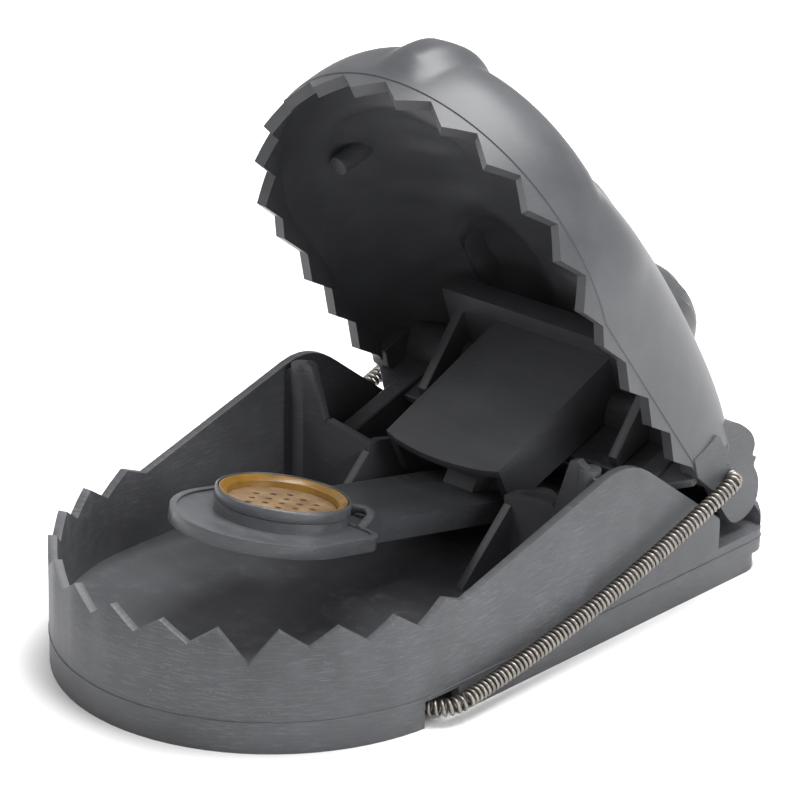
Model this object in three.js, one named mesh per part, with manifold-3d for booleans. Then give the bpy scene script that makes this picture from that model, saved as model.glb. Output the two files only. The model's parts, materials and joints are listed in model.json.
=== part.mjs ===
// Snap mouse trap with two toothed jaws, shown set (open). Millimetres, +Z up, mouth towards -Y.
// Y is first measured from the centre of the round front of the lower jaw; the whole trap is
// centred over the origin at the very end.
import * as THREE from 'three';
import { mergeVertices } from 'three/addons/utils/BufferGeometryUtils.js';
import Module from 'manifold-3d';

const wasm = await Module();
wasm.setup();

// ---- driving dimensions ----------------------------------------------------------------------
const halfWidth = 28.8;          // outside half width of both jaws
const noseLength = 29.7;         // centre of the round front to its foremost point
const wall = 1.2;                // moulded wall of both jaws
const fit = 0.3;                 // gap between pieces that touch or slide

// lower jaw
const rearLength = 66.2;         // centre of the round front to the rear lip
const rearUndercut = 1.6;        // how far the foot of the rear end is set in
const undercutHeight = 2.4;
const rearCorner = 3;
const floorTop = 5.5;
const floorThickness = 1.4;
const toothPitch = 15;           // degrees round the front
const frontTeeth = 13;
const toothTip = 16.65;
const toothDepth = 2.6;
const deepNotch = { angle: 37.5, extra: 2.2 };   // the one notch cut deeper than the rest
const sideRise = 16.4;           // degrees, top edge of the side wall
const sideFall = 36.7;           // degrees, behind the peak
const sideStart = 3.6;           // where the side edge leaves the last tooth
const sideStartHeight = 15.3;
const peakY = 35.3;
const peakRound = 10;
const sideEnd = 55;              // the side walls stop here
const rearLipHeight = 8.9;
const rearLipThickness = 0.95;
const rearLipRound = 4;
const postRadius = 1.5;
const postX = 25.5;
const postY = 31.2;
const postTop = 23.6;
const bulkheadY = 30.3;
const bulkheadHigh = 24.5;
const bulkheadLow = 16.6;
const bulkheadStep = 20.4;       // half width at which the bulkhead drops
const ribX = 12;                 // inner face of the rib that guides the trigger
const ribTop = 16;
const ribRearTop = 10.6;
const gussetLength = 10.6;
const springSlotFront = -3.3;
const springSlotRear = 2.8;
const springSlotHeight = 3.7;

// jaw hinge
const hingeY = 34.1;
const hingeZ = 10.4;
const openAngle = 70.5;          // degrees from shut to set
const hingePinRadius = 1.2;
const bossRadius = 2.25;
const armX = 20.6;               // inner face of the jaw arm
const armThickness = 2.8;
const bearingThickness = 1.2;

// upper jaw, described shut
const rimHeight = 16.95;         // roots of the upper teeth over the floor plane
const rimRise = 18.2;            // degrees, rim along the sides
const upperToothDepth = 2.5;
const sideTeeth = 4;             // ratchet-shaped teeth along each side
const sidePitch = 7.6;
const sideFlank = 4.4;           // length of the long flank
const sideToothDrop = 0.5;       // tip under the root in front of it
const firstTooth = { flank: 2.9, drop: 0.65 };
const domeCentreY = -14.2;
const domeRound = 3.0;           // squareness of the dome's section
const domeSpine = [[-12, 31.4], [2, 37.6], [16, 41.6], [28, 43.4], [38, 42.4]];
// swellings of the dome: centre across and along, half sizes, height, share that is flat on top
const swellings = [
  { x: 0, y: -24.44, across: 5.8, along: 9.79, height: 1.56, flat: 0.36 },
  { x: halfWidth * 0.46, y: -8.7, across: 8.6, along: 5.8, height: 0.9, flat: 0.4 },
  { x: halfWidth * 0.41, y: 19.31, across: 7.2, along: 13, height: 4.6, flat: 0.3 },
];
const swellFoot = 1;             // over the rim, where the swellings begin
const swellRun = 4;              // height over which they come in
const rimEndY = 31.5;            // rear end of the rim
const backY = 33;                // front face of the back wall
const backBottom = 24;
const handleHalfWidth = halfWidth - 1.6;
const handleWall = 1.5;

// springs
const springRadius = 1.18;
const springX = halfWidth + 1.7;
const springRearY = 56.2;
const springRearZ = 16.0;
const springFrontZ = 2.4;
const springSag = 1.7;
const springPeg = { x: halfWidth - 4.6, y: -5.2, radius: 0.9 };

// latch channel, described shut
const channelHalfWidth = 10;
const channelLipY = 25.7;
const channelLipZ = 10.5;
const channelTopY = 23.9;
const channelTopZ = 35.9;
const channelRearY = 32.6;
const lipBulge = 1.5;
const earX = 16.3;
const earThickness = 1.4;
const earBottom = 24.4;
const earTop = 38;
const bandHalfWidth = 19.5;
const latchBarRadius = 0.8;
const latchBarY = 5.2;           // from the hinge, in the set position
const latchBarZ = 5.9;

// trigger
const triggerY = 52;
const triggerZ = 7.4;
const triggerTilt = 11.2;        // degrees, nose up
const triggerPinRadius = 1.0;
const triggerBoss = 1.65;
const armHalfWidth = 7;
const armDepth = 3;
const plateHalfWidth = 12.5;
const plateReach = 55.3;         // pivot to the centre of the plate's round front
const plateTail = 9;             // straight sides behind that centre
const plateThickness = 1.3;
const plateRim = 1.6;
const plateCorner = 2.6;
const cupReach = 52.8;
const cupRadius = 8.85;
const seatWall = 0.45;          // ring on the plate that holds the cup
const cupWall = 0.4;
const cupLedge = 0.7;           // depth of the ledge inside the cup's rim
const collarHeight = 3.1;
const seatHeight = 1.5;
const cupDepth = 2.4;
const trayWall = 0.4;
const coverDrop = 1.5;           // cup rim down to the top of the cover
const coverThickness = 0.4;
const coverHole = 0.48;
const coverPitch = 2.3;

const rad = THREE.MathUtils.degToRad;
const ARC = 40;                  // steps round the nose

// ---- solid helpers ---------------------------------------------------------------------------
function solid(geometry) {
  const g = geometry.clone();
  for (const name of Object.keys(g.attributes)) if (name !== 'position') g.deleteAttribute(name);
  const m = mergeVertices(g, 1e-4);
  const vertProperties = new Float32Array(m.attributes.position.array);
  const triVerts = new Uint32Array(m.index.array);
  return new wasm.Manifold(new wasm.Mesh({ numProp: 3, vertProperties, triVerts }));
}

function join(...parts) {
  return parts.flat().reduce((sum, part) => sum.add(part));
}

function cut(body, ...tools) {
  return tools.flat().reduce((sum, tool) => sum.subtract(tool), body);
}

function geometryOf(body) {
  const mesh = body.getMesh();
  const geometry = new THREE.BufferGeometry();
  geometry.setAttribute('position', new THREE.BufferAttribute(new Float32Array(mesh.vertProperties), 3));
  geometry.setIndex(Array.from(mesh.triVerts));
  geometry.computeVertexNormals();
  return geometry;
}

// A closed body from triangles given as Vector3 corners; triangles without area are dropped.
function bodyFromTriangles(triangles) {
  const keys = new Map();
  const points = [];
  const index = [];
  const find = (p) => {
    const key = `${Math.round(p.x * 2000)},${Math.round(p.y * 2000)},${Math.round(p.z * 2000)}`;
    if (!keys.has(key)) {
      keys.set(key, keys.size);
      points.push(p.x, p.y, p.z);
    }
    return keys.get(key);
  };
  for (const [a, b, c] of triangles) {
    const [i, j, k] = [find(a), find(b), find(c)];
    if (i !== j && j !== k && k !== i) index.push(i, j, k);
  }
  return new wasm.Manifold(new wasm.Mesh({
    numProp: 3, vertProperties: new Float32Array(points), triVerts: new Uint32Array(index),
  }));
}

function extrude(points, depth) {
  const shape = new THREE.Shape(points.map(([x, y]) => new THREE.Vector2(x, y)));
  return new THREE.ExtrudeGeometry(shape, { depth, bevelEnabled: false });
}

const axes = (x, y, z) => new THREE.Matrix4().makeBasis(
  new THREE.Vector3(...x), new THREE.Vector3(...y), new THREE.Vector3(...z));

// Prisms of an outline: (y, z) along X, (x, z) along Y, (x, y) along Z.
function prismX(points, x0, x1) {
  const lay = axes([0, 1, 0], [0, 0, 1], [1, 0, 0]);
  return solid(extrude(points, x1 - x0).applyMatrix4(lay).translate(x0, 0, 0));
}
function prismY(points, y0, y1) {
  const lay = axes([1, 0, 0], [0, 0, 1], [0, -1, 0]);
  return solid(extrude(points, y1 - y0).applyMatrix4(lay).translate(0, y1, 0));
}
function prismZ(points, z0, z1) {
  return solid(extrude(points, z1 - z0).translate(0, 0, z0));
}
function box(x0, x1, y0, y1, z0, z1) {
  return prismZ([[x0, y0], [x1, y0], [x1, y1], [x0, y1]], z0, z1);
}
function rodX(radius, x0, x1, y, z, sides = 20) {
  const geometry = new THREE.CylinderGeometry(radius, radius, x1 - x0, sides);
  return solid(geometry.rotateZ(Math.PI / 2).translate((x0 + x1) / 2, y, z));
}
function rodZ(radius, z0, z1, x, y, sides = 20) {
  const geometry = new THREE.CylinderGeometry(radius, radius, z1 - z0, sides);
  return solid(geometry.rotateX(Math.PI / 2).translate(x, y, (z0 + z1) / 2));
}
const mirrored = (body) => body.mirror([1, 0, 0]);
const bothSides = (body) => join(body, mirrored(body));

// An outline with rounded corners from [a, b, radius] corners.
function rounded(corners, steps = 5) {
  const points = [];
  corners.forEach(([a, b, r], i) => {
    const here = new THREE.Vector2(a, b);
    if (!r) {
      points.push([a, b]);
      return;
    }
    const before = corners.at(i - 1);
    const after = corners[(i + 1) % corners.length];
    const u = new THREE.Vector2(before[0], before[1]).sub(here).normalize();
    const v = new THREE.Vector2(after[0], after[1]).sub(here).normalize();
    const half = Math.acos(u.dot(v)) / 2;
    const centre = u.clone().add(v).normalize().multiplyScalar(r / Math.sin(half)).add(here);
    const start = u.multiplyScalar(r / Math.tan(half)).add(here).sub(centre);
    const end = v.multiplyScalar(r / Math.tan(half)).add(here).sub(centre);
    const turn = Math.atan2(start.cross(end), start.dot(end));
    for (let s = 0; s <= steps; s += 1) {
      const p = start.clone().rotateAround(new THREE.Vector2(), (turn * s) / steps).add(centre);
      points.push([p.x, p.y]);
    }
  });
  return points;
}

// ---- plan of both jaws: half an ellipse in front, straight sides behind ------------------------
function noseOutline(inset) {
  const points = [];
  for (let i = 0; i <= ARC; i += 1) {
    const t = -Math.PI / 2 + (Math.PI * i) / ARC;
    points.push([(halfWidth - inset) * Math.sin(t), -(noseLength - inset) * Math.cos(t)]);
  }
  return points;
}

function jawPlan(inset, rear) {
  const side = halfWidth - inset;
  const corner = Math.max(rearCorner - inset, 0.4);
  const end = rear - inset;
  const back = rounded([[side, 0, 0], [side, end, corner], [-side, end, corner], [-side, 0, 0]]);
  return [...noseOutline(inset), ...back.slice(1, -1)];
}

// A point of the plan by its angle from straight ahead; past 90 degrees it runs along the side.
function planPoint(angle) {
  const sign = Math.sign(angle) || 1;
  const t = Math.min(Math.abs(angle), 90);
  const along = (Math.abs(angle) - t) * rad(1) * halfWidth;
  const ahead = noseLength * Math.cos(rad(t));
  const point = new THREE.Vector2(sign * halfWidth * Math.sin(rad(t)), along - ahead);
  const tangent = new THREE.Vector2(halfWidth * Math.cos(rad(t)), sign * noseLength * Math.sin(rad(t)));
  return { point, tangent: tangent.normalize() };
}

// A three-cornered cutter laid across the wall at a plan point.
function toothCutter(point, tangent, apexZ, mouthZ, halfGap) {
  const reach = 8;
  const over = (mouthZ - apexZ) * 2;
  const gap = halfGap * 2;
  const z0 = apexZ;
  const outline = over > 0
    ? [[-gap, z0 + over], [0, z0], [gap, z0 + over]]
    : [[-gap, z0 + over], [gap, z0 + over], [0, z0]];
  const matrix = axes([tangent.x, tangent.y, 0], [0, 0, 1], [tangent.y, -tangent.x, 0]);
  const geometry = extrude(outline, reach).translate(0, 0, -reach / 2).applyMatrix4(matrix);
  return solid(geometry.translate(point.x, point.y, 0));
}

const halfPitch = rad(toothPitch / 2) * ((halfWidth + noseLength) / 2);

// ---- lower jaw ---------------------------------------------------------------------------------
function sideProfile() {
  const peakZ = sideStartHeight + Math.tan(rad(sideRise)) * (peakY - sideStart);
  const endZ = peakZ - Math.tan(rad(sideFall)) * (sideEnd - peakY);
  return rounded([
    [-noseLength - 5, toothTip, 0],
    [0.3, toothTip, 0],
    [sideStart, sideStartHeight, 0],
    [peakY, peakZ, peakRound],
    [sideEnd, endZ, 1.2],
    [sideEnd, floorTop, 0],
    [rearLength + 5, floorTop, 0],
    [rearLength + 5, 60, 0],
    [-noseLength - 5, 60, 0],
  ]);
}

function rearLip() {
  const side = halfWidth - 0.4;
  const outline = rounded([
    [-side, floorTop - 1, 0], [side, floorTop - 1, 0],
    [side, rearLipHeight, rearLipRound], [-side, rearLipHeight, rearLipRound],
  ]);
  const lip = prismY(outline, rearLength - rearLipThickness, rearLength);
  const beyond = cut(
    box(-halfWidth - 2, halfWidth + 2, rearLength - 5, rearLength + 2, floorTop - 3, rearLipHeight + 3),
    prismZ(jawPlan(0, rearLength), floorTop - 4, rearLipHeight + 4),
  );
  return cut(lip, beyond);
}

function bulkhead() {
  const outer = halfWidth - wall / 2;
  const outline = [
    [ribX, floorTop - 0.4], [outer, floorTop - 0.4], [outer, postTop - 1.5], [postX, bulkheadHigh - 0.9],
    [postX - 1.5, bulkheadHigh], [bulkheadStep + 2.5, bulkheadHigh - 0.3], [bulkheadStep, bulkheadLow + 0.1],
    [bulkheadStep - 0.5, bulkheadLow + 0.6], [ribX, bulkheadLow - 0.6],
  ];
  return prismY(outline, bulkheadY, bulkheadY + wall);
}

function guideRib() {
  const start = bulkheadY + wall;
  const outline = [
    [start - gussetLength, floorTop - 0.4], [triggerY + 5, floorTop - 0.4], [triggerY + 5, ribRearTop],
    [start + 11, ribRearTop], [start + 7, ribTop - 1.4], [start + 1, ribTop], [start, ribTop],
    [start - gussetLength, floorTop + 0.3],
  ];
  const pinHole = rodX(triggerPinRadius + fit, ribX - 1, ribX + wall + 1, triggerY, triggerZ);
  return cut(prismX(outline, ribX, ribX + wall), pinHole);
}

function hingeBearing(x) {
  const front = bulkheadY + wall - 0.2;
  const outline = rounded([
    [front, floorTop - 0.4, 0], [hingeY + 4.5, floorTop - 0.4, 0],
    [hingeY + 3.2, hingeZ + 3, 2], [front, hingeZ + 3, 0],
  ]);
  const hole = rodX(hingePinRadius + fit, x - 1, x + bearingThickness + 1, hingeY, hingeZ);
  return cut(prismX(outline, x, x + bearingThickness), hole);
}

function lowerJaw() {
  const peakTop = 30;
  const shell = cut(
    join(
      prismZ(jawPlan(0, rearLength), undercutHeight, peakTop),
      prismZ(jawPlan(0, rearLength - rearUndercut), 0, undercutHeight + 0.5),
    ),
    prismZ(jawPlan(wall, rearLength + 0.01), floorTop, peakTop + 1),
    prismZ(jawPlan(wall, rearLength - rearUndercut), -1, floorTop - floorThickness),
    prismX(sideProfile(), -halfWidth - 1, halfWidth + 1),
  );
  const teeth = [];
  for (let i = 0; i < frontTeeth - 1; i += 1) {
    const angle = (i - (frontTeeth - 2) / 2) * toothPitch;
    const { point, tangent } = planPoint(angle);
    const depth = toothDepth + (angle === deepNotch.angle ? deepNotch.extra : 0);
    teeth.push(toothCutter(point, tangent, toothTip - depth, toothTip, halfPitch));
  }
  const inside = halfWidth - wall - 1;
  const slot = box(inside, halfWidth + 1, springSlotFront, springSlotRear, -1, springSlotHeight);
  const post = rodZ(postRadius, floorTop - 0.4, postTop, postX, postY);
  const peg = rodZ(springPeg.radius, 0.6, floorTop - 0.6, springPeg.x, springPeg.y, 14);
  const bearings = [armX - fit - bearingThickness, armX + armThickness + fit].map(hingeBearing);
  const halfInside = join(bulkhead(), post, guideRib(), peg, ...bearings);
  return cut(join(cut(shell, teeth), rearLip(), bothSides(halfInside)), slot, mirrored(slot));
}

// ---- upper jaw, shut ---------------------------------------------------------------------------
function rimZ(y) {
  return rimHeight + Math.tan(rad(rimRise)) * Math.max(y, 0);
}

const spineCurve = new THREE.SplineCurve(domeSpine.map(([y, z]) => new THREE.Vector2(y, z)));
function spineZ(y) {
  let low = 0;
  let high = 1;
  for (let i = 0; i < 24; i += 1) {
    const mid = (low + high) / 2;
    if (spineCurve.getPoint(mid).x < y) low = mid;
    else high = mid;
  }
  return spineCurve.getPoint(low).y;
}

// The dome as a closed body: rim outline, quarter sections up to the spine, and a lower face.
function swell(x, y) {
  return swellings.reduce((sum, s) => {
    const away = Math.hypot((Math.abs(x) - s.x) / s.across, (y - s.y) / s.along);
    const t = THREE.MathUtils.clamp((1 - away) / (1 - s.flat), 0, 1);
    return sum + s.height * t * t * (3 - 2 * t);
  }, 0);
}

function swollen(point, foot) {
  const axis = new THREE.Vector3(0, Math.max(point.y, domeCentreY), foot + 4);
  const amount = THREE.MathUtils.clamp((point.z - foot - swellFoot) / swellRun, 0, 1);
  const out = point.clone().sub(axis).normalize();
  return point.addScaledVector(out, amount * swell(point.x, point.y));
}

function domeBody(inset, lift, drop) {
  const rim = noseOutline(inset);
  const rear = backY + wall - inset;
  const steps = 14;
  for (let i = 1; i <= steps; i += 1) {
    const y = (rear * i) / steps;
    rim.push([halfWidth - inset, y]);
    rim.unshift([-(halfWidth - inset), y]);
  }
  const rings = 16;
  const top = rim.map(([x, y]) => {
    const centre = Math.max(y, domeCentreY);
    const foot = rimZ(y);
    const row = [new THREE.Vector3(x, y, foot - drop)];
    for (let k = 0; k <= rings; k += 1) {
      const angle = (Math.PI / 2) * (k / rings);
      const c = k === rings ? 0 : Math.cos(angle) ** (2 / domeRound);
      const s = k === 0 ? 0 : Math.sin(angle) ** (2 / domeRound);
      const z = foot + (spineZ(centre) - lift - foot) * s;
      row.push(swollen(new THREE.Vector3(x * c, centre + (y - centre) * c, z), foot));
    }
    return row;
  });
  const under = top.map((row) => row.map((p, k) => (
    k === 0 ? p.clone() : new THREE.Vector3(p.x, p.y, row[0].z))));
  const triangles = [];
  const quad = (a, b, c, d) => triangles.push([a, b, c], [a, c, d]);
  for (let i = 0; i + 1 < top.length; i += 1) {
    for (let k = 0; k + 1 < top[0].length; k += 1) {
      quad(top[i][k], top[i + 1][k], top[i + 1][k + 1], top[i][k + 1]);
      quad(under[i][k], under[i][k + 1], under[i + 1][k + 1], under[i + 1][k]);
    }
  }
  for (const [end, flip] of [[0, false], [top.length - 1, true]]) {
    for (let k = 0; k + 1 < top[0].length; k += 1) {
      const face = [top[end][k], top[end][k + 1], under[end][k + 1], under[end][k]];
      quad(...(flip ? face.reverse() : face));
    }
  }
  return bodyFromTriangles(triangles);
}

function upperTeeth() {
  const cutters = [];
  const steps = Math.round(90 / toothPitch);
  for (let i = -steps; i <= steps; i += 1) {
    const { point, tangent } = planPoint(i * toothPitch);
    cutters.push(toothCutter(point, tangent, rimHeight, rimHeight - upperToothDepth, halfPitch));
  }
  const saw = [];
  for (let i = 0; i < sideTeeth; i += 1) {
    const y = i * sidePitch;
    const flank = i === 0 ? firstTooth.flank : sideFlank;
    const drop = i === 0 ? firstTooth.drop : sideToothDrop;
    saw.push([y, rimZ(y)], [y + flank, rimZ(y) - drop]);
  }
  const end = sideTeeth * sidePitch;
  const low = rimHeight - upperToothDepth - 3;
  saw.push([end, rimZ(end)], [end, low], [0, low]);
  cutters.push(prismX(saw, -halfWidth - 1, halfWidth + 1));
  return cutters;
}

function handleProfile() {
  return rounded([
    [28, 31.5, 0], [35.5, 30.6, 0], [43.6, 32.4, 0], [45.6, 33.4, 0.5], [46.6, 36.6, 1], [45.2, 39.5, 1.8],
    [42.2, 40.6, 2], [40.3, 39.9, 0], [39.4, 40.9, 0.3], [38.5, 40.3, 0], [37, 41.3, 2.5], [32, 38.8, 3],
    [28, 35, 0],
  ], 4);
}

function handleHollow() {
  return rounded([
    [backY + wall, 25, 0], [44.3, 25, 0], [44.3, 33.6, 0], [45, 36.4, 1], [43.8, 38.1, 1], [40.5, 38.4, 0],
    [37, 39.2, 1], [backY + wall, 37.6, 0],
  ], 3);
}

function jawArm() {
  const outline = rounded([
    [hingeY - bossRadius, hingeZ - bossRadius, bossRadius - 0.05],
    [hingeY + bossRadius, hingeZ - bossRadius, bossRadius - 0.05],
    [hingeY + bossRadius + 1.2, backBottom + 6, 0], [hingeY + bossRadius + 1.2, 39, 0],
    [hingeY - bossRadius + 1.3, 39, 0], [hingeY - bossRadius + 0.4, backBottom, 0],
  ]);
  const hole = rodX(hingePinRadius + fit, armX - 1, armX + armThickness + 1, hingeY, hingeZ);
  return cut(prismX(outline, armX, armX + armThickness), hole);
}

function springLug() {
  const outline = rounded([
    [29.5, 27.4, 0], [32.4, 27.5, 0], [36.8, 30, 0.8], [36.9, 33.9, 0.9], [32.6, 33.7, 0], [29.5, 33, 0],
  ], 3);
  return prismX(outline, handleHalfWidth - wall, springX - springRadius - fit);
}

function upperJaw() {
  const outer = domeBody(0, 0, upperToothDepth + 0.05);
  const inner = domeBody(wall, wall + 0.1, upperToothDepth + 4);
  const rearTrim = prismX([[backY, 0], [backY + 9, 0], [backY + 9, backBottom + 4],
    [rimEndY + 0.5, backBottom + 3.2],
    [rimEndY, backBottom - 4]], -halfWidth - 1, halfWidth + 1);
  const backWall = prismY([[-halfWidth + wall / 2, backBottom + 3], [-24.4, backBottom], [24.4, backBottom],
    [halfWidth - wall / 2, backBottom + 3], [halfWidth - wall / 2, 36], [22, 40.5], [-22, 40.5],
    [-halfWidth + wall / 2, 36]], backY, backY + wall);
  const shell = join(cut(outer, inner, rearTrim, upperTeeth()), backWall);
  const handle = cut(
    prismX(handleProfile(), -handleHalfWidth, handleHalfWidth),
    prismX(handleHollow(), -handleHalfWidth + handleWall, handleHalfWidth - handleWall),
    domeBody(wall, wall + 0.1, 10),
  );
  return join(shell, handle, bothSides(join(jawArm(), springLug())));
}

// ---- latch channel, shut -----------------------------------------------------------------------
function latchChannel() {
  const lip = new THREE.Vector2(channelLipY, channelLipZ);
  const top = new THREE.Vector2(channelTopY, channelTopZ);
  const along = top.clone().sub(lip).normalize();
  const length = top.distanceTo(lip);
  const across = 9;
  const edge = [];
  for (let i = 0; i <= across; i += 1) {
    const x = -channelHalfWidth + (2 * channelHalfWidth * i) / across;
    const bulge = lipBulge * Math.cos((Math.PI / 2) * (x / channelHalfWidth)) ** 0.7;
    edge.push([x, Math.abs(x) > channelHalfWidth - 0.01 ? 0 : -bulge]);
  }
  const panelOutline = [...edge, [channelHalfWidth, length], [-channelHalfWidth, length]];
  const lay = axes([1, 0, 0], [0, along.x, along.y], [0, -along.y, along.x]);
  const slab = extrude(panelOutline, wall).translate(0, 0, -wall);
  const panel = solid(slab.applyMatrix4(lay).translate(0, lip.x, lip.y));
  const sideOutline = [
    [lip.x + 0.2, lip.y], [channelRearY, lip.y + 0.8],
    [channelRearY, channelTopZ], [top.x + 0.2, channelTopZ],
  ];
  const side = prismX(sideOutline, channelHalfWidth - wall, channelHalfWidth);
  const earOutline = [
    [22.4, earTop], [channelRearY - 1.6, earBottom], [channelRearY, earBottom], [channelRearY, earTop],
  ];
  const ear = prismX(earOutline, earX, earX + earThickness);
  const under = channelTopZ - 1.2;
  const band = prismX([[21.4, under], [channelRearY, under], [channelRearY, channelTopZ],
    [23.4, channelTopZ], [22.6, earTop], [21.4, earTop]], -bandHalfWidth, bandHalfWidth);
  const shut = rad(openAngle);
  const barY = hingeY + latchBarY * Math.cos(shut) - latchBarZ * Math.sin(shut);
  const barZ = hingeZ + latchBarY * Math.sin(shut) + latchBarZ * Math.cos(shut);
  const bar = rodX(latchBarRadius, -channelHalfWidth + 0.4, channelHalfWidth - 0.4, barY, barZ, 14);
  return join(panel, band, bar, bothSides(join(side, ear)));
}

// ---- trigger, level, measured from its own pivot (nose towards -Y) ------------------------------
const plateTop = 1.25;           // plate surface over the pivot axis

function plateOutline(inset) {
  const r = plateHalfWidth - inset;
  const points = [];
  for (let i = 0; i <= 24; i += 1) {
    const t = -Math.PI / 2 + (Math.PI * i) / 24;
    points.push([r * Math.sin(t), -plateReach - r * Math.cos(t)]);
  }
  const tail = -plateReach + plateTail - inset;
  const corner = Math.max(plateCorner - inset, 0.3);
  const back = rounded([[r, -plateReach, 0], [r, tail, corner], [-r, tail, corner], [-r, -plateReach, 0]]);
  return [...points, ...back.slice(1, -1)];
}

function latchWedge() {
  const y = hingeY + latchBarY - triggerY;
  const foot = plateTop + 0.2;
  return prismX([[y - 5.2, foot - 0.6], [y + 1, foot - 0.6], [y + 1, foot],
    [y - 3.4, foot + 2.5], [y - 4.2, foot + 2.5],
    [y - 5.2, foot]], -2.6, 2.6);
}

function triggerPedal() {
  const plate = cut(
    prismZ(plateOutline(0), plateTop - plateRim, plateTop + 0.25),
    prismZ(plateOutline(1.1), plateTop - plateRim - 1, plateTop - plateThickness),
    prismZ(plateOutline(0.9), plateTop, plateTop + 2),
  );
  const seat = rodZ(cupRadius - 0.15, plateTop - plateThickness, plateTop + seatHeight, 0, -cupReach, 40);
  const armFront = -plateReach + plateTail - 1.2;
  const arm = cut(
    box(-armHalfWidth, armHalfWidth, armFront, -0.4, plateTop - armDepth, plateTop),
    box(
      -armHalfWidth + wall, armHalfWidth - wall, armFront - 0.1, -3,
      plateTop - armDepth - 1, plateTop - wall,
    ),
  );
  const boss = rodX(triggerBoss, -ribX + fit, ribX - fit, 0, 0);
  const pinHole = rodX(triggerPinRadius + fit / 2, -ribX - 1, ribX + 1, 0, 0);
  const bore = rodZ(cupRadius - seatWall, plateTop - 4, plateTop + 4, 0, -cupReach, 40);
  return cut(join(plate, seat, arm, boss, latchWedge()), pinHole, bore);
}

const clear = 0.12;              // gap between the cup, its tray and the cover
const bowlOuter = cupRadius - seatWall - 0.25;
const bowlInner = bowlOuter - cupWall;
const cupFloor = 0.8;

function ring(profile, steps = 40) {
  const points = profile.map(([r, z]) => new THREE.Vector2(r, z));
  const geometry = new THREE.LatheGeometry(points, steps);
  return solid(geometry.rotateX(Math.PI / 2).translate(0, -cupReach, 0));
}

function baitCup() {
  const seatTop = plateTop + seatHeight + 0.05;
  const rimTop = plateTop + collarHeight;
  const bottom = plateTop - cupDepth;
  const ledge = rimTop - cupLedge;
  const rimInner = cupRadius - cupWall;
  return ring([
    [0, bottom], [bowlOuter, bottom], [bowlOuter, seatTop], [cupRadius, seatTop], [cupRadius, rimTop - 0.2],
    [cupRadius - 0.2, rimTop], [rimInner, rimTop], [rimInner, ledge], [bowlInner, ledge],
    [bowlInner, bottom + cupFloor], [0, bottom + cupFloor],
  ]);
}

function baitTray() {
  const rimTop = plateTop + collarHeight;
  const outer = bowlInner - clear;
  const inner = outer - trayWall;
  const lipOuter = cupRadius - cupWall - clear;
  const lipUnder = rimTop - cupLedge + clear;
  const bottom = plateTop - cupDepth + cupFloor + clear;
  const seat = rimTop - coverDrop - coverThickness - clear / 2;
  return ring([
    [0, bottom], [outer, bottom], [outer, lipUnder], [lipOuter, lipUnder], [lipOuter, rimTop - 0.12],
    [lipOuter - 0.2, rimTop - 0.12], [inner, rimTop - cupLedge], [inner, seat], [inner - 0.5, seat],
    [inner - 0.5, bottom + trayWall], [0, bottom + trayWall],
  ]);
}

function baitCover() {
  const outer = bowlInner - clear - trayWall - clear;
  const z1 = plateTop + collarHeight - coverDrop;
  const z0 = z1 - coverThickness;
  const holes = [];
  for (let row = -3; row <= 3; row += 1) {
    for (let column = -3; column <= 3; column += 1) {
      const x = (column + (row % 2 ? 0.5 : 0)) * coverPitch;
      const y = row * coverPitch * 0.87;
      if (Math.hypot(x, y) < outer - 1.1) holes.push(rodZ(coverHole, z0 - 1, z1 + 1, x, y - cupReach, 8));
    }
  }
  return cut(rodZ(outer, z0, z1, 0, -cupReach, 40), holes);
}

// ---- springs and pins --------------------------------------------------------------------------
function springBody(side) {
  const at = (x, y, z) => new THREE.Vector3(side * x, y, z);
  const rear = at(springX, springRearY, springRearZ);
  const bend = at(springX, springSlotRear + 0.5, springFrontZ + 0.4);
  const middle = rear.clone().add(bend).multiplyScalar(0.5).add(at(0, 0, -2 * springSag));
  const end = at(springPeg.x + 1.9, springPeg.y + 2.6, springFrontZ - 0.4);
  const corner = at(springX, -0.8, springFrontZ - 0.3);
  const run = new THREE.QuadraticBezierCurve3(rear, middle, bend).getPoints(16);
  const turn = new THREE.QuadraticBezierCurve3(bend, corner, end).getPoints(8);
  const route = new THREE.CatmullRomCurve3([...run, ...turn.slice(1)], false, 'centripetal');
  const section = new THREE.Shape();
  section.absarc(0, 0, springRadius, 0, Math.PI * 2, false);
  const settings = { steps: 40, curveSegments: 5, bevelEnabled: false, extrudePath: route };
  return new THREE.ExtrudeGeometry(section, settings);
}

function hingePin(side) {
  const inner = armX - fit - bearingThickness;
  const outer = armX + armThickness + fit + bearingThickness;
  const pin = rodX(hingePinRadius, inner - 0.4, outer + 0.4, 0, 0);
  return side < 0 ? mirrored(pin) : pin;
}

function triggerPin() {
  return rodX(triggerPinRadius, -ribX - wall - 0.4, ribX + wall + 0.4, 0, 0);
}

// ---- materials ---------------------------------------------------------------------------------
function material(color, roughness, metalness) {
  return new THREE.MeshStandardMaterial({ color, roughness, metalness });
}
const moulded = material(0x5e6064, 0.5, 0);
const mouldedGloss = material(0x66686c, 0.35, 0);
const steel = material(0x9a948c, 0.3, 1);
const amber = material(0xc79238, 0.4, 0);
const tan = material(0xc2a285, 0.7, 0);

function node(name, geometry, surface) {
  const mesh = new THREE.Mesh(geometry, surface);
  mesh.name = name;
  return mesh;
}

// ---- assembly in the set position --------------------------------------------------------------
const trap = new THREE.Group();
trap.add(node('lower_jaw', geometryOf(lowerJaw()), moulded));

const jawSwing = new THREE.Group();
jawSwing.position.set(0, hingeY, hingeZ);
jawSwing.rotation.x = -rad(openAngle);
for (const [name, body] of [['upper_jaw', upperJaw()], ['latch_channel', latchChannel()]]) {
  const mesh = node(name, geometryOf(body), moulded);
  mesh.position.set(0, -hingeY, -hingeZ);
  jawSwing.add(mesh);
}
trap.add(jawSwing);

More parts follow.
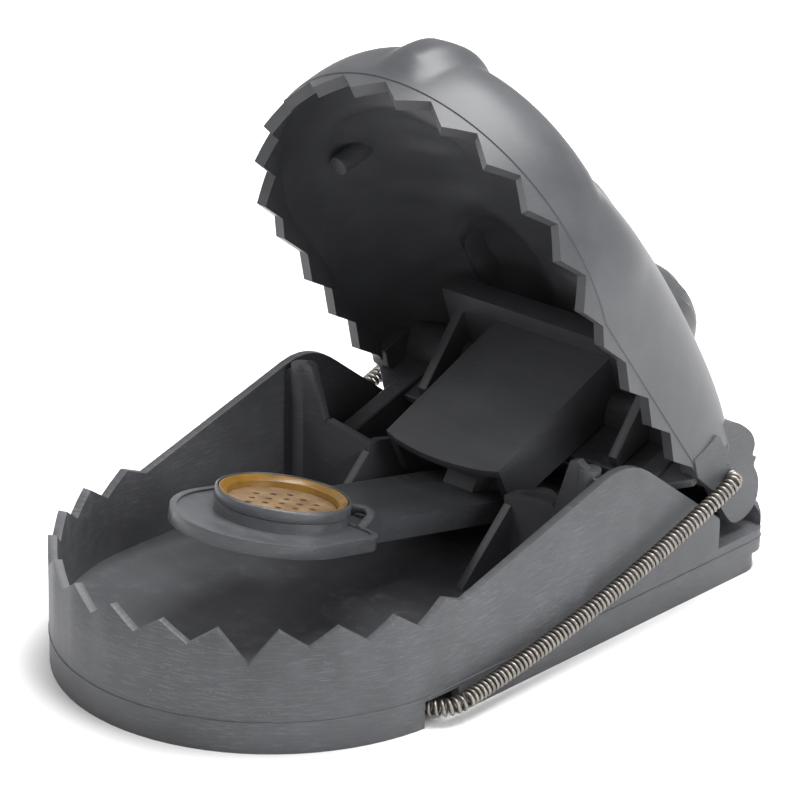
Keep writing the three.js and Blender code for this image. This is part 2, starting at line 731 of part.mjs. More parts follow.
const trigger = new THREE.Group();
trigger.position.set(0, triggerY, triggerZ);
trigger.rotation.x = -rad(triggerTilt);
trigger.add(node('trigger_pedal', geometryOf(triggerPedal()), mouldedGloss));
trigger.add(node('bait_cup', geometryOf(baitCup()), mouldedGloss));
trigger.add(node('bait_tray', geometryOf(baitTray()), amber));
trigger.add(node('bait_cover', geometryOf(baitCover()), tan));
trap.add(trigger);

for (const [side, label] of [[-1, 'left'], [1, 'right']]) {
  trap.add(node(`spring_${label}`, springBody(side), steel));
  const pin = node(`jaw_hinge_pin_${label}`, geometryOf(hingePin(side)), steel);
  pin.position.set(0, hingeY, hingeZ);
  trap.add(pin);
}
const pin = node('trigger_pin', geometryOf(triggerPin()), steel);
pin.position.set(0, triggerY, triggerZ);
trap.add(pin);

// The origin is under the middle of the set trap's outline.
trap.updateMatrixWorld(true);
const outline = new THREE.Box3().setFromObject(trap, true);
trap.position.y = -(outline.min.y + outline.max.y) / 2;

export default trap;
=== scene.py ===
import json
import math

import bmesh
import bpy
import numpy as np
from mathutils import Matrix, Vector


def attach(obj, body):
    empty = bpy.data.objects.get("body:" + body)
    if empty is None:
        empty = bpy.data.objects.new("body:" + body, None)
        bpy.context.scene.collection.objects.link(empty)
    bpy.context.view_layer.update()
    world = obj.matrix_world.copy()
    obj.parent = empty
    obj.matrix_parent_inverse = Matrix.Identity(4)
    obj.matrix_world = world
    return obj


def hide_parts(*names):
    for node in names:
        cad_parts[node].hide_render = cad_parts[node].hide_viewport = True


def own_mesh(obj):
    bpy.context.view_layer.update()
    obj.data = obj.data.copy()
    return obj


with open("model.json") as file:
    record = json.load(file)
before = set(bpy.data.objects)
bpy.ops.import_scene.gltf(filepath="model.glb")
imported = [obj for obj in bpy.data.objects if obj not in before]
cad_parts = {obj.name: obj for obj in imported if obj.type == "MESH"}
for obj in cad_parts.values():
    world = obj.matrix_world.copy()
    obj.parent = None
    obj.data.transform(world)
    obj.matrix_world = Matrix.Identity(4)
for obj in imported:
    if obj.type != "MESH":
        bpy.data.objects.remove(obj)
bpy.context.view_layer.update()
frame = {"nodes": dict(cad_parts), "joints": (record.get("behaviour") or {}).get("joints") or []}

MM = 0.001
NODES = frame["nodes"]
JOINTS = {j["name"]: j for j in frame["joints"]}
HINGE = Vector(JOINTS["jaw_hinge"]["pos_m"])
OPEN = math.radians(JOINTS["jaw_hinge"]["range_deg"][1])
PEDAL = Vector(JOINTS["trigger_hinge"]["pos_m"])
TILT = math.radians(11.2)

# Millimetre sizes of the moulding, in the same frame as the CAD source: Y from the centre of the
# round front, the upper jaw described shut.
HALF_WIDTH = 28.8
NOSE = 29.7
WALL = 1.2
HINGE_Y = 34.1
HINGE_Z = 10.4
SHIFT = HINGE.y / MM - HINGE_Y


# ---- materials ---------------------------------------------------------------------------------
def new_material(name):
    mat = bpy.data.materials.new(name)
    mat.use_nodes = True
    tree = mat.node_tree
    tree.nodes.clear()
    out = tree.nodes.new("ShaderNodeOutputMaterial")
    shader = tree.nodes.new("ShaderNodeBsdfPrincipled")
    tree.links.new(shader.outputs[0], out.inputs[0])
    coords = tree.nodes.new("ShaderNodeTexCoord")
    return mat, tree, shader, coords


def noise(tree, coords, scale, detail=4.0, stretch=(1, 1, 1), turn=(0, 0, 0)):
    mapping = tree.nodes.new("ShaderNodeMapping")
    mapping.inputs["Scale"].default_value = stretch
    mapping.inputs["Rotation"].default_value = turn
    tree.links.new(coords.outputs["Object"], mapping.inputs["Vector"])
    node = tree.nodes.new("ShaderNodeTexNoise")
    node.inputs["Scale"].default_value = scale
    node.inputs["Detail"].default_value = detail
    tree.links.new(mapping.outputs[0], node.inputs["Vector"])
    return node.outputs["Fac"]


def spread(tree, value, low, high, to_low, to_high):
    node = tree.nodes.new("ShaderNodeMapRange")
    node.inputs["From Min"].default_value = low
    node.inputs["From Max"].default_value = high
    node.inputs["To Min"].default_value = to_low
    node.inputs["To Max"].default_value = to_high
    tree.links.new(value, node.inputs["Value"])
    return node.outputs["Result"]


def maths(tree, kind, a, b):
    node = tree.nodes.new("ShaderNodeMath")
    node.operation = kind
    for socket, value in zip(node.inputs, (a, b)):
        if isinstance(value, (int, float)):
            socket.default_value = value
        else:
            tree.links.new(value, socket)
    return node.outputs[0]


def mixed(tree, factor, a, b):
    node = tree.nodes.new("ShaderNodeMix")
    node.data_type = "RGBA"
    tree.links.new(factor, node.inputs["Factor"])
    for socket, value in ((node.inputs["A"], a), (node.inputs["B"], b)):
        if isinstance(value, tuple):
            socket.default_value = (*value, 1)
        else:
            tree.links.new(value, socket)
    return node.outputs["Result"]


def bumped(tree, shader, height, strength, distance):
    node = tree.nodes.new("ShaderNodeBump")
    node.inputs["Strength"].default_value = strength
    node.inputs["Distance"].default_value = distance
    tree.links.new(height, node.inputs["Height"])
    tree.links.new(node.outputs[0], shader.inputs["Normal"])


def moulded_plastic(name, dark, light, rough, scuffs, specular=0.45):
    """Injection-moulded plastic: cloudy flow marks, brushing along the walls, specks, satin grain."""
    mat, tree, shader, coords = new_material(name)
    clouds = spread(tree, noise(tree, coords, 70, 5), 0.3, 0.7, 0, 1)
    flow = spread(tree, noise(tree, coords, 260, 6, (0.18, 1, 1), (0.2, 0.1, 0.5)), 0.42, 0.72, 0, 1)
    tone = maths(tree, "ADD", maths(tree, "MULTIPLY", clouds, 0.6), maths(tree, "MULTIPLY", flow, 0.4))
    base = mixed(tree, tone, dark, light)
    fine_a = spread(tree, noise(tree, coords, 5200, 3, (0.07, 0.07, 1), (0.25, 0.1, 0.1)), 0.54, 0.74, 0, 1)
    fine_b = spread(tree, noise(tree, coords, 4600, 3, (0.09, 0.1, 1), (-0.4, 0.35, 0.2)), 0.56, 0.76, 0, 1)
    fine_c = spread(tree, noise(tree, coords, 3600, 4, (0.6, 0.6, 0.6), (0.2, 0.6, 0.1)), 0.62, 0.76, 0, 1)
    lines = maths(tree, "MAXIMUM", maths(tree, "MAXIMUM", fine_a, fine_b), fine_c)
    patch = spread(tree, noise(tree, coords, 60, 4), 0.36, 0.66, 0.15, 1)
    marks = maths(tree, "MULTIPLY", maths(tree, "MULTIPLY", lines, patch), scuffs)
    pale = tuple(min(1, c * 1.9 + 0.03) for c in light)
    worn = mixed(tree, marks, base, pale)
    tree.links.new(worn, shader.inputs["Base Color"])
    gloss = maths(tree, "ADD", spread(tree, clouds, 0, 1, rough - 0.05, rough + 0.05),
                  maths(tree, "MULTIPLY", marks, 0.2))
    tree.links.new(gloss, shader.inputs["Roughness"])
    shader.inputs["Specular IOR Level"].default_value = specular
    grain = noise(tree, coords, 3200, 2)
    height = maths(tree, "ADD", maths(tree, "MULTIPLY", grain, 0.5), maths(tree, "MULTIPLY", marks, -0.8))
    bumped(tree, shader, height, 0.16, 0.00012)
    return mat


def spring_wire():
    mat, tree, shader, coords = new_material("spring_wire")
    tint = spread(tree, noise(tree, coords, 900, 4), 0.35, 0.65, 0, 1)
    tree.links.new(mixed(tree, tint, (0.20, 0.185, 0.168), (0.32, 0.30, 0.275)), shader.inputs["Base Color"])
    shader.inputs["Metallic"].default_value = 1.0
    dullness = spread(tree, noise(tree, coords, 2600, 3), 0.3, 0.7, 0.34, 0.46)
    tree.links.new(dullness, shader.inputs["Roughness"])
    bumped(tree, shader, noise(tree, coords, 6000, 2, (1, 0.2, 0.2)), 0.12, 0.00005)
    return mat


def bait_amber():
    mat, tree, shader, coords = new_material("bait_amber")
    tint = spread(tree, noise(tree, coords, 330, 4), 0.35, 0.65, 0, 1)
    tree.links.new(mixed(tree, tint, (0.20, 0.10, 0.014), (0.28, 0.15, 0.026)), shader.inputs["Base Color"])
    shader.inputs["Roughness"].default_value = 0.34
    shader.inputs["Subsurface Weight"].default_value = 0.25
    shader.inputs["Subsurface Radius"].default_value = (0.0015, 0.0008, 0.0003)
    shader.inputs["Coat Weight"].default_value = 0.25
    bumped(tree, shader, noise(tree, coords, 700, 3), 0.15, 0.0002)
    return mat


def cover_card():
    mat, tree, shader, coords = new_material("bait_cover_tan")
    tint = spread(tree, noise(tree, coords, 420, 5), 0.35, 0.65, 0, 1)
    base = mixed(tree, tint, (0.19, 0.115, 0.055), (0.30, 0.195, 0.105))
    tree.links.new(base, shader.inputs["Base Color"])
    shader.inputs["Roughness"].default_value = 0.62
    bumped(tree, shader, noise(tree, coords, 2400, 4), 0.3, 0.00015)
    return mat


def pin_steel():
    mat, tree, shader, coords = new_material("pin_steel")
    tint = spread(tree, noise(tree, coords, 1200, 3, (0.1, 1, 1)), 0.35, 0.65, 0, 1)
    tree.links.new(mixed(tree, tint, (0.45, 0.45, 0.45), (0.62, 0.62, 0.61)), shader.inputs["Base Color"])
    shader.inputs["Metallic"].default_value = 1.0
    dullness = spread(tree, noise(tree, coords, 2200, 3), 0.3, 0.7, 0.22, 0.42)
    tree.links.new(dullness, shader.inputs["Roughness"])
    return mat


def floor_paper():
    mat, tree, shader, coords = new_material("floor_paper")
    tint = spread(tree, noise(tree, coords, 6, 3), 0.3, 0.7, 0, 1)
    tree.links.new(mixed(tree, tint, (0.93, 0.93, 0.93), (0.95, 0.95, 0.95)), shader.inputs["Base Color"])
    shader.inputs["Roughness"].default_value = 0.9
    shader.inputs["Specular IOR Level"].default_value = 0.1
    return mat


BODY = moulded_plastic("moulded_grey", (0.058, 0.0592, 0.064), (0.086, 0.0878, 0.0957), 0.48, 0.42, 0.36)
SHELL = moulded_plastic("shell_grey", (0.058, 0.0592, 0.064), (0.086, 0.0878, 0.0957), 0.38, 0.12, 0.4)
TRIGGER = moulded_plastic("trigger_grey", (0.062, 0.064, 0.070), (0.090, 0.093, 0.102), 0.30, 0.35, 0.5)
WIRE = spring_wire()
AMBER = bait_amber()
TAN = cover_card()
STEEL = pin_steel()


# ---- mesh helpers ------------------------------------------------------------------------------
def rounded_edges(obj, width, segments=2, angle=28, flatten=True):
    weld = obj.modifiers.new("weld", "WELD")
    weld.merge_threshold = 2e-6
    if flatten:
        flat = obj.modifiers.new("flat_faces", "DECIMATE")
        flat.decimate_type = "DISSOLVE"
        flat.angle_limit = math.radians(0.6)
    bevel = obj.modifiers.new("moulded_edges", "BEVEL")
    bevel.width = width * MM
    bevel.segments = segments
    bevel.limit_method = "ANGLE"
    bevel.angle_limit = math.radians(angle)
    bevel.use_clamp_overlap = True
    bevel.harden_normals = False
    smooth(obj, angle)


def smooth(obj, angle=30):
    """Smooth shading with creases kept sharp, through Blender's own smooth-by-angle call."""
    bpy.ops.object.select_all(action="DESELECT")
    obj.select_set(True)
    bpy.context.view_layer.objects.active = obj
    bpy.ops.object.shade_smooth_by_angle(angle=math.radians(angle))
    obj.select_set(False)


def finish_cad_node(name, material, edge, segments=2, flatten=True):
    obj = NODES[name]
    obj.data.materials.clear()
    obj.data.materials.append(material)
    rounded_edges(obj, edge, segments, flatten=flatten)


def piece(name, points, faces, material, body, slot, merge=None):
    """A new mesh from millimetre points in the row frame, riding on a body."""
    mesh = bpy.data.meshes.new(name)
    mesh.from_pydata([tuple(c * MM for c in p) for p in points], [], faces)
    bm = bmesh.new()
    bm.from_mesh(mesh)
    if merge:
        bmesh.ops.remove_doubles(bm, verts=bm.verts, dist=merge * MM)
        bmesh.ops.dissolve_degenerate(bm, edges=bm.edges, dist=1e-7)
    bmesh.ops.recalc_face_normals(bm, faces=bm.faces)
    bm.to_mesh(mesh)
    bm.free()
    mesh.materials.append(material)
    obj = bpy.data.objects.new(name, mesh)
    bpy.context.scene.collection.objects.link(obj)
    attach(obj, body)
    return obj


def to_row(p):
    """From the shut upper jaw's millimetre frame to the row frame in the set position."""
    y = p[1] - HINGE_Y
    z = p[2] - HINGE_Z
    c = math.cos(OPEN)
    s = math.sin(OPEN)
    return (p[0], HINGE_Y + y * c + z * s + SHIFT, HINGE_Z - y * s + z * c)


def on_pedal(p):
    """From the level trigger's frame, measured from its pivot, to the row frame."""
    c = math.cos(TILT)
    s = math.sin(TILT)
    return (p[0], PEDAL.y / MM + p[1] * c + p[2] * s, PEDAL.z / MM - p[1] * s + p[2] * c)


def prism(axis, outline, low, high):
    """Points and faces of a straight extrusion along X or Y."""
    n = len(outline)
    if axis == "x":
        points = [(low, a, b) for a, b in outline] + [(high, a, b) for a, b in outline]
    else:
        points = [(a, low, b) for a, b in outline] + [(a, high, b) for a, b in outline]
    faces = [tuple(range(n)), tuple(range(2 * n - 1, n - 1, -1))]
    faces += [(i, n + i, n + (i + 1) % n, (i + 1) % n) for i in range(n)]
    return points, faces


def joined(*solids):
    points = []
    faces = []
    for p, f in solids:
        base = len(points)
        points += p
        faces += [tuple(base + i for i in face) for face in f]
    return points, faces


def arc_corner(points, steps=5):
    """Outline with each corner's third number taken as its radius."""
    made = []
    n = len(points)
    for i, (x, y, r) in enumerate(points):
        here = np.array([x, y], float)
        before = np.array(points[i - 1][:2], float) - here
        after = np.array(points[(i + 1) % n][:2], float) - here
        if r <= 0:
            made.append((x, y))
            continue
        lb = np.linalg.norm(before)
        la = np.linalg.norm(after)
        before /= lb
        after /= la
        half = math.acos(max(-1, min(1, float(before @ after)))) / 2
        reach = min(r / math.tan(half), lb * 0.48, la * 0.48)
        start = here + before * reach
        stop = here + after * reach
        for k in range(steps + 1):
            t = k / steps
            q = (1 - t) ** 2 * start + 2 * t * (1 - t) * here + t * t * stop
            made.append((float(q[0]), float(q[1])))
    return made


def curve_point(a, b, c, d, t):
    """A point between b and c on a smooth curve through a, b, c and d."""
    return 0.5 * (2 * b + (c - a) * t + (2 * a - 5 * b + 4 * c - d) * t ** 2
                  + (3 * b - a - 3 * c + d) * t ** 3)


def round_curve(points, steps=6):
    """A smooth closed outline through the given points."""
    made = []
    n = len(points)
    q = np.array(points, float)
    for i in range(n):
        a, b, c, d = q[i - 1], q[i], q[(i + 1) % n], q[(i + 2) % n]
        made += [tuple(curve_point(a, b, c, d, t)) for t in np.linspace(0, 1, steps, endpoint=False)]
    return made


def round_path(points, steps=5):
    """A smooth open path through the given points."""
    q = np.array([points[0]] + points + [points[-1]], float)
    made = []
    for i in range(1, len(q) - 2):
        spots = np.linspace(0, 1, steps, endpoint=i == len(q) - 3)
        made += [curve_point(*q[i - 1:i + 3], t) for t in spots]
    return made


# ---- springs: real coils, with a hook at each end --------------------------------------------
WIRE_R = 0.27
COIL_R = 1.18 - WIRE_R
SPRING_X = 30.5
PIVOT = np.array([2.0, 2.6])
LUG = np.array([56.2, 16.0])
SAG = 1.7
PITCH = 0.775
HOOK_PITCH = 0.74
COIL_END = 0.975     # share of the way to the lug where the straight coil stops


def bow(start, middle, stop, steps):
    """Points on the curve from start to stop that is drawn towards middle."""
    return [(1 - t) ** 2 * start + 2 * t * (1 - t) * middle + t * t * stop for t in steps]


def tube(path, radius, sides=8):
    """A round wire along a path, with closed ends."""
    path = np.array(path, float)
    tangents = np.gradient(path, axis=0)
    tangents /= np.linalg.norm(tangents, axis=1)[:, None]
    side = np.cross(tangents[0], (0.3, 0.2, 0.9))
    side /= np.linalg.norm(side)
    points = []
    faces = []
    for p, t in zip(path, tangents):
        side = side - t * (side @ t)
        side /= np.linalg.norm(side)
        other = np.cross(t, side)
        for k in range(sides):
            a = 2 * math.pi * k / sides
            points.append(tuple(p + radius * (math.cos(a) * side + math.sin(a) * other)))
    for i in range(len(path) - 1):
        for k in range(sides):
            a = i * sides + k
            b = i * sides + (k + 1) % sides
            faces.append((a, b, b + sides, a + sides))
    faces.append(tuple(range(sides)))
    faces.append(tuple(range(len(points) - 1, len(points) - sides - 1, -1)))
    return points, faces


def coil_along(line, turns, per_turn=14):
    """A helix round a centre line given as many points."""
    line = np.array(line, float)
    steps = np.linalg.norm(np.diff(line, axis=0), axis=1)
    along = np.concatenate([[0], np.cumsum(steps)])
    total = int(turns * per_turn) + 1
    at = np.linspace(0, along[-1], total)
    centre = np.stack([np.interp(at, along, line[:, k]) for k in range(3)], axis=1)
    tangents = np.gradient(centre, axis=0)
    tangents /= np.linalg.norm(tangents, axis=1)[:, None]
    side = np.cross(tangents[0], (1, 0, 0))
    side /= np.linalg.norm(side)
    path = []
    for i, (p, t) in enumerate(zip(centre, tangents)):
        side = side - t * (side @ t)
        side /= np.linalg.norm(side)
        other = np.cross(t, side)
        a = 2 * math.pi * i / per_turn
        path.append(p + COIL_R * (math.cos(a) * side + math.sin(a) * other))
    return path


def spring(label, side):
    def at(x, y, z):
        return np.array([side * x, y + SHIFT, z])

    rear = at(SPRING_X, *LUG)
    start = at(SPRING_X, *PIVOT)
    middle = (rear + start) / 2 - np.array([0, 0, 2 * SAG])
    line = bow(start, middle, rear, np.linspace(0, COIL_END, 60))
    length = float(np.linalg.norm(rear - start))
    turns = round(length * COIL_END / PITCH)
    coil = piece(f"spring_coil_{label}", *tube(coil_along(line, turns), WIRE_R), WIRE, f"{label}_spring",
                 "spring_steel")
    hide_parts(f"spring_{label}")
    smooth(coil, 60)
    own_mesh(coil)

    # The front end turns in through the slot in the wall to a peg under the floor.
    first = line[1] - line[0]
    first /= np.linalg.norm(first)
    corner = start - first * 3.4
    stop = at(26.4, -2.4, 2.1)
    bend = bow(start, corner, stop, np.linspace(0, 1, 24))
    run = float(sum(np.linalg.norm(bend[i + 1] - bend[i]) for i in range(23)))
    front_coil = coil_along(bend, round(run / PITCH))
    peg = at(24.2, -5.2, 2.0)
    loop = [stop + (peg - stop) * t for t in np.linspace(0, 0.6, 5)]
    ring = [peg + 1.25 * np.array([math.cos(a) * side, math.sin(a), 0]) for a in np.linspace(1.0, 6.4, 20)]
    hook = tube(loop + ring, WIRE_R)
    both = joined(tube(front_coil, WIRE_R), hook)
    front_hook = piece(f"spring_front_hook_{label}", *both, WIRE, "base", "spring_steel")
    smooth(front_hook, 60)

    # The rear end turns in over the lug.
    last = line[-1] - line[-2]
    last /= np.linalg.norm(last)
    top = line[-1]
    tip = at(28.6, LUG[0] + 0.6, LUG[1] - 0.6)
    over = top + last * 1.3
    curl = bow(top, over, tip, np.linspace(0, 1, 24))
    run = float(sum(np.linalg.norm(curl[i + 1] - curl[i]) for i in range(23)))
    rear_coil = coil_along(curl, round(run / HOOK_PITCH))
    rear_hook = piece(f"spring_rear_hook_{label}", *tube(rear_coil, WIRE_R), WIRE, "jaw", "spring_steel")
    smooth(rear_hook, 60)


spring("left", -1)
spring("right", 1)


# ---- upper jaw: one thin moulded shell, described shut ------------------------------------------
RIM = 16.95
RISE = math.tan(math.radians(18.2))
BACK = 34.2
DOME_CENTRE = -14.2
SQUARE = 3.0
SPINE = np.array([[-12, 31.4], [2, 37.6], [16, 41.6], [28, 43.4], [38, 42.4]])
TOOTH = 2.5
TOOTH_PITCH = 15         # degrees
TOOTH_THICKNESS = 1.75
TOOTH_STEP = 0.16        # the teeth stand in from the shell's face by this
PARTING = 0.45           # the line between teeth and shell, over the roots
SIDE_PITCH = 7.6
# Side teeth: where the root is, length of the long flank, drop of the tip.
SIDE_TEETH = [(0, 2.9, 0.65), (7.6, 4.4, 0.5), (15.2, 4.4, 0.5), (22.8, 4.4, 0.5)]
# Swellings of the moulding: centre x, y, half sizes, height, share of flat top.
SWELLS = [
    (0, -24.44, 5.8, 9.79, 1.56, 0.36),
    (-13.25, -8.7, 8.6, 5.8, 0.9, 0.4),
    (13.25, -8.7, 8.6, 5.8, 0.9, 0.4),
    (-11.81, 19.31, 7.2, 13, 4.6, 0.3),
    (11.81, 19.31, 7.2, 13, 4.6, 0.3),
]
# Hollows pressed into the inside, by the same measures, and alike on both sides.
DISHES = [(15.2, -4.2, 10.4, 10.0, 0.75, 0.8), (11.0, 25.5, 17.5, 10.5, 0.8, 0.8)]


def rim_line(y):
    return RIM + RISE * max(y, 0)


def spine_curve():
    ends = np.vstack([SPINE[0], SPINE, SPINE[-1]])
    made = []
    for i in range(len(SPINE) - 1):
        spots = np.linspace(0, 1, 12, endpoint=i == len(SPINE) - 2)
        made += [curve_point(*ends[i:i + 4], t) for t in spots]
    return np.array(made)


SPINE_LINE = spine_curve()


def spine_top(y):
    return float(np.interp(y, SPINE_LINE[:, 0], SPINE_LINE[:, 1]))


def hump(x, y, cx, cy, rx, ry, height, plateau):
    """Height at x, y of one rounded hump."""
    d = math.hypot((x - cx) / rx, (y - cy) / ry)
    t = min(max((1 - d) / (1 - plateau), 0), 1)
    return height * t * t * (3 - 2 * t)


def swell(x, y):
    return sum(hump(x, y, *row) for row in SWELLS)


def dish(x, y):
    """Hollows pressed into the inside only: a round one on each cheek and a wide one under the brow."""
    return max(hump(abs(x), y, *row) for row in DISHES)


def side_bottom(y):
    """Lowest edge of the ratchet-shaped side teeth."""
    for root, flank, drop in SIDE_TEETH:
        if root <= y <= root + flank:
            return rim_line(root) - drop * (y - root) / flank
        if root + flank < y < root + SIDE_PITCH:
            t = (y - root - flank) / (SIDE_PITCH - flank)
            return rim_line(root) - drop + t * (rim_line(root + SIDE_PITCH) - rim_line(root) + drop)
    return rim_line(y)


def rim_columns():
    """Plan parameter and lower edge for every column of the shell, from the rear left round the front."""
    side = sorted({0.9, 2.9, 4.2, 6.0, 7.6, 9.1, 10.6, 12.0, 13.6, 15.2, 16.7, 18.2, 19.6, 21.2, 22.8, 24.3,
                   25.8, 27.2, 28.8, 30.4, 32.0, 33.2, BACK})
    columns = [("side", -1, y) for y in reversed(side)]
    columns += [("front", 0, math.radians(a)) for a in np.arange(-90, 90.01, 1.25)]
    columns += [("side", 1, y) for y in side]
    return columns


def plan_point(column, inset):
    kind, sign, value = column
    if kind == "side":
        return sign * (HALF_WIDTH - inset), value
    return (HALF_WIDTH - inset) * math.sin(value), -(NOSE - inset) * math.cos(value)


def lower_edge(column):
    kind, _, value = column
    if kind == "side":
        return side_bottom(value)
    step = abs(math.degrees(value)) / TOOTH_PITCH % 1
    return RIM - TOOTH * (1 - abs(2 * step - 1))


def dome_point(column, inset, lift, theta):
    x, y = plan_point(column, inset)
    r = (math.cos(theta) ** SQUARE + math.sin(theta) ** SQUARE) ** (-1 / SQUARE)
    c = 0.0 if theta > math.pi / 2 - 1e-6 else math.cos(theta) * r
    centre = max(y, DOME_CENTRE)
    foot = rim_line(y)
    px = x * c
    py = centre + (y - centre) * c
    pz = foot + (spine_top(centre) - lift - foot) * math.sin(theta) * r
    axis = Vector((0, max(py, DOME_CENTRE), foot + 4))
    out = (Vector((px, py, pz)) - axis).normalized()
    fade = min(1, max(0, (pz - foot - 1) / 4))
    push = swell(px, py) + (dish(px, py) if inset else 0)
    return tuple(Vector((px, py, pz)) + out * push * fade)


def jaw_shell():
    columns = rim_columns()
    thetas = np.linspace(0, math.pi / 2, 34)[1:]
    outer = []
    inner = []
    for column in columns:
        kind, _, value = column
        line = rim_line(value if kind == "side" else 0) + PARTING
        low = lower_edge(column)
        x, y = plan_point(column, TOOTH_STEP)
        ox, oy = plan_point(column, 0)
        rows = [(x, y, low), (x, y, line - 0.05), (ox, oy, line + 0.08)]
        rows += [dome_point(column, 0, 0, t) for t in thetas]
        outer.append(rows)
        tx, ty = plan_point(column, TOOTH_THICKNESS)
        mx, my = plan_point(column, WALL)
        rows = [(tx, ty, low), (tx, ty, line + 0.3), (mx, my, line + 1.3)]
        rows += [dome_point(column, WALL, WALL + 0.1, t) for t in thetas]
        for k in range(3, len(rows)):
            if rows[k][2] < line + 1.5:
                rows[k] = (rows[k][0], rows[k][1], line + 1.3 + 0.05 * k)
        inner.append(rows)
    count = len(columns)
    height = len(outer[0])
    points = [to_row(p) for rows in outer for p in rows] + [to_row(p) for rows in inner for p in rows]
    half = count * height
    faces = []
    for i in range(count - 1):
        for k in range(height - 1):
            a = i * height + k
            b = a + height
            faces.append((a, b, b + 1, a + 1))
            faces.append((half + a, half + a + 1, half + b + 1, half + b))
        a = i * height
        faces.append((a, half + a, half + a + height, a + height))
    for a in (0, (count - 1) * height):
        for k in range(height - 1):
            faces.append((a + k, a + k + 1, half + a + k + 1, half + a + k))
    return points, faces


shell = piece("upper_jaw_shell", *jaw_shell(), SHELL, "jaw", "body_plastic", merge=0.01)
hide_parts("upper_jaw")
smooth(shell, 32)


def shut_prism(axis, outline, low, high):
    points, faces = prism(axis, outline, low, high)
    return [to_row(p) for p in points], faces


def soften(obj, width, segments=3, angle=25):
    bevel = obj.modifiers.new("moulded_edges", "BEVEL")
    bevel.width = width * MM
    bevel.segments = segments
    bevel.limit_method = "ANGLE"
    bevel.angle_limit = math.radians(angle)
    smooth(obj, 35)


HANDLE = round_curve([(31.3, 37.8), (33.5, 39.8), (35.6, 40.9), (37.4, 41.0), (38.6, 40.2), (39.4, 40.7),
                      (40.3, 40.0), (42.3, 40.3), (44.2, 39.9), (45.8, 38.9), (46.5, 37.2), (46.4, 35.2),
                      (45.6, 33.7), (43.6, 32.7), (39.6, 31.6), (35.6, 31.0), (31.6, 31.4), (29.5, 34.0)], 4)
HOLLOW = arc_corner([(34.4, 25, 0), (44.2, 25, 0), (44.3, 33.8, 0), (44.9, 36.4, 1), (43.6, 38.1, 1),
                     (40.5, 38.3, 0), (37, 38.9, 1), (34.4, 37.4, 0)], 3)
HANDLE_HALF_WIDTH = 27.2
HANDLE_WALL = 1.5


def cutter_object(name, points, faces):
    """A mesh to cut with, taken away again once it has been used."""
    mesh = bpy.data.meshes.new(name)
    mesh.from_pydata([tuple(c * MM for c in p) for p in points], [], faces)
    bm = bmesh.new()
    bm.from_mesh(mesh)
    bmesh.ops.recalc_face_normals(bm, faces=bm.faces)
    bm.to_mesh(mesh)
    bm.free()
    obj = bpy.data.objects.new(name, mesh)
    bpy.context.scene.collection.objects.link(obj)
    return obj


def jaw_part(name, solid):
    """A piece of the upper jaw that stands in for part of the CAD's upper jaw."""
    made = piece(name, *solid, BODY, "jaw", "body_plastic")
    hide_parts("upper_jaw")
    return made


def jaw_handle():
    handle = jaw_part("jaw_handle", shut_prism("x", HANDLE, -HANDLE_HALF_WIDTH, HANDLE_HALF_WIDTH))
    inside = HANDLE_HALF_WIDTH - HANDLE_WALL
    cutter = cutter_object("handle_hollow", *shut_prism("x", HOLLOW, -inside, inside))
    boolean = handle.modifiers.new("hollow", "BOOLEAN")
    boolean.operation = "DIFFERENCE"
    boolean.solver = "EXACT"
    boolean.object = cutter
    bpy.context.view_layer.objects.active = handle
    handle.select_set(True)
    bpy.ops.object.modifier_apply(modifier="hollow")
    bpy.data.objects.remove(cutter)
    soften(handle, 0.45, 3, 40)


def jaw_back_wall():
    outline = arc_corner([(-28.0, 27.2, 0), (-24.4, 24, 0), (24.4, 24, 0), (28.0, 27.2, 0), (28.0, 35, 0),
                          (24, 39.6, 2), (-24, 39.6, 2), (-28.0, 35, 0)], 3)
    soften(jaw_part("jaw_back_wall", shut_prism("y", outline, BACK - WALL, BACK)), 0.2, 2)


BOSS = 2.25
ARM_X = 20.6
ARM_THICKNESS = 2.8
LUG_X = 26.0
LUG_THICKNESS = 3.0


def jaw_arm(label, side):
    around_pin = [(HINGE_Y + BOSS * math.cos(a), HINGE_Z + BOSS * math.sin(a))
                  for a in np.linspace(math.pi * 1.02, math.pi * 1.98, 16)]
    outline = around_pin + [(37.5, 30), (37.5, 39), (33.2, 39), (32.3, 24)]
    low = ARM_X if side > 0 else -ARM_X - ARM_THICKNESS
    soften(jaw_part(f"jaw_arm_{label}", shut_prism("x", outline, low, low + ARM_THICKNESS)), 0.25, 2)


def spring_lug(label, side):
    outline = arc_corner([(29.5, 27.4, 0), (32.4, 27.3, 0.5), (36.8, 29.9, 1.6), (36.9, 33.9, 1.6),
                          (34.9, 33.9, 0.5), (34.6, 32.9, 0.3), (34.0, 33.6, 0.3), (32.6, 33.7, 0.4),
                          (29.5, 33, 0)], 4)
    low = LUG_X if side > 0 else -LUG_X - LUG_THICKNESS
    soften(jaw_part(f"spring_lug_{label}", shut_prism("x", outline, low, low + LUG_THICKNESS)), 0.3, 3, 30)


PEG = (-23.4, -4.0)
PEG_RINGS = [(0.0, 1.5), (2.6, 1.5), (3.0, 1.35), (3.2, 0.9)]     # depth, radius
PEG_SIDES = 20


